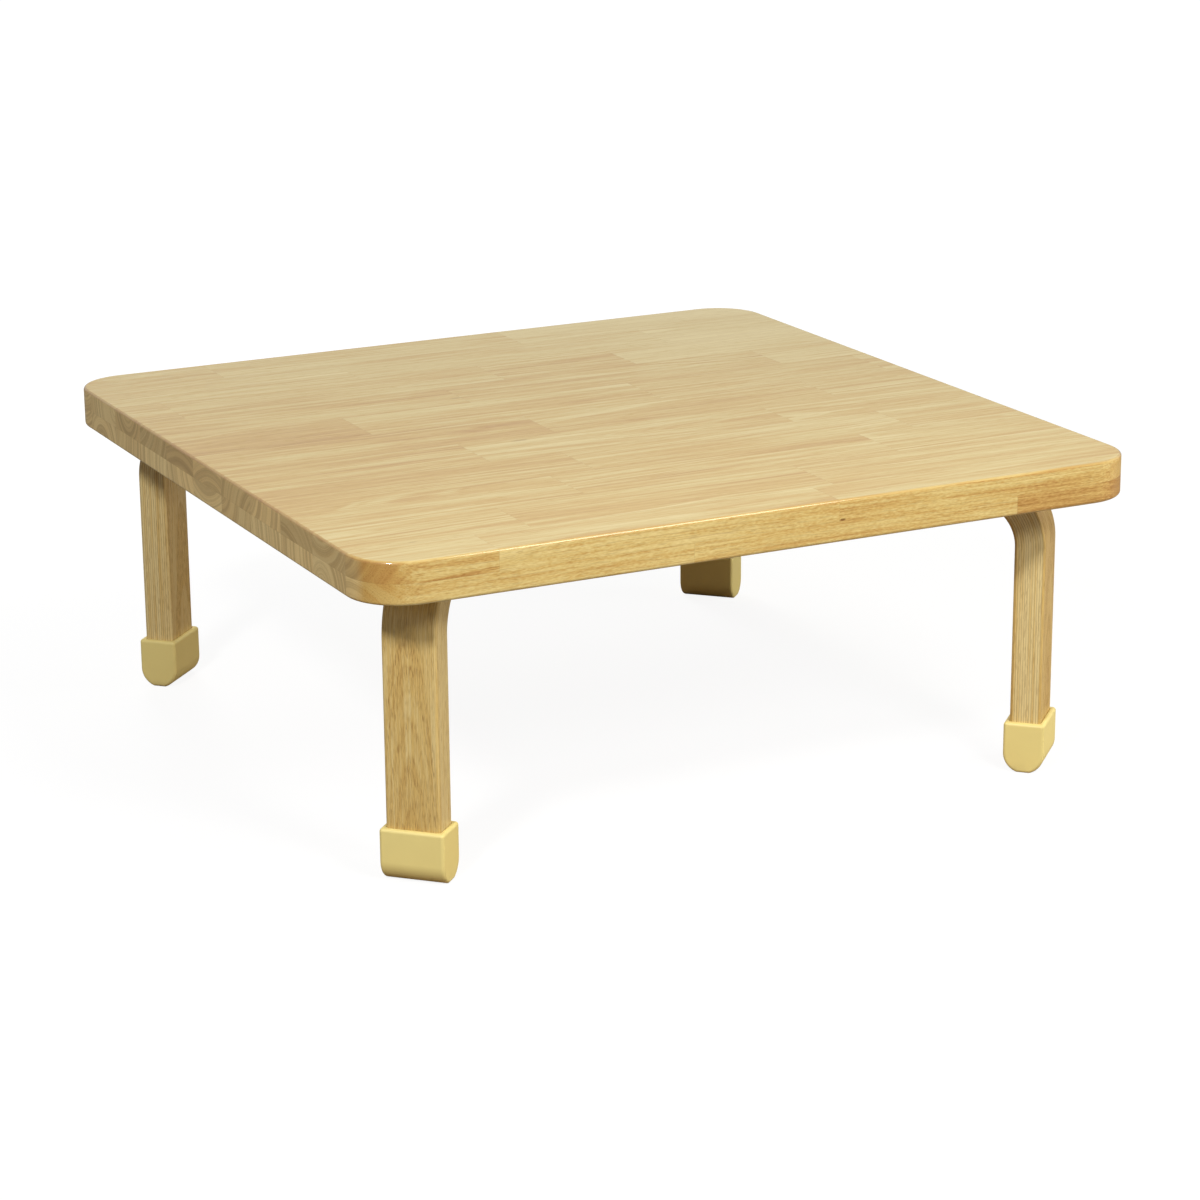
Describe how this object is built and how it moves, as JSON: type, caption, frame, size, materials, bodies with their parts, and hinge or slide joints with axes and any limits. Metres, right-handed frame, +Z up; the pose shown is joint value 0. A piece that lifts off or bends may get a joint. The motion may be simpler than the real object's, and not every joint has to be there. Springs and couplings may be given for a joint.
{
  "type": "preschool table",
  "caption": "Low square preschool table: two-layer hardwood stave top with rounded corners, on diagonal bent laminated legs in push-on vinyl boots.",
  "frame": {"origin": "on the floor, under the middle of the top", "axes": "+Z up, +X along the staves, -Y towards the front edge"},
  "size_m": [0.762, 0.762, 0.3048],
  "materials": {
    "top_wood": "clear satin lacquer",
    "leg_wood": "clear satin lacquer",
    "boot_vinyl": "soft vinyl with a low sheen",
    "zinc_plated_steel": "bright zinc plate",
    "insert_brass": "plain turned brass"
  },
  "bodies": {
    "root": {"back_left_boot": "boot_vinyl", "back_left_leg": "leg_wood", "back_left_leg_bolts": "zinc_plated_steel", "back_left_leg_inserts": "insert_brass", "back_left_leg_washers": "zinc_plated_steel", "back_right_boot": "boot_vinyl", "back_right_leg": "leg_wood", "back_right_leg_bolts": "zinc_plated_steel", "back_right_leg_inserts": "insert_brass", "back_right_leg_washers": "zinc_plated_steel", "front_left_boot": "boot_vinyl", "front_left_leg": "leg_wood", "front_left_leg_bolts": "zinc_plated_steel", "front_left_leg_inserts": "insert_brass", "front_left_leg_washers": "zinc_plated_steel", "front_right_boot": "boot_vinyl", "front_right_leg": "leg_wood", "front_right_leg_bolts": "zinc_plated_steel", "front_right_leg_inserts": "insert_brass", "front_right_leg_washers": "zinc_plated_steel", "lower_stave_01": "top_wood", "lower_stave_02": "top_wood", "lower_stave_03": "top_wood", "lower_stave_04": "top_wood", "lower_stave_05": "top_wood", "lower_stave_06": "top_wood", "lower_stave_07": "top_wood", "lower_stave_08": "top_wood", "lower_stave_09": "top_wood", "lower_stave_10": "top_wood", "lower_stave_11": "top_wood", "upper_stave_01": "top_wood", "upper_stave_02": "top_wood", "upper_stave_03": "top_wood", "upper_stave_04": "top_wood", "upper_stave_05": "top_wood", "upper_stave_06": "top_wood", "upper_stave_07": "top_wood", "upper_stave_08": "top_wood", "upper_stave_09": "top_wood", "upper_stave_10": "top_wood", "upper_stave_11": "top_wood"}
  },
  "joints": []
}
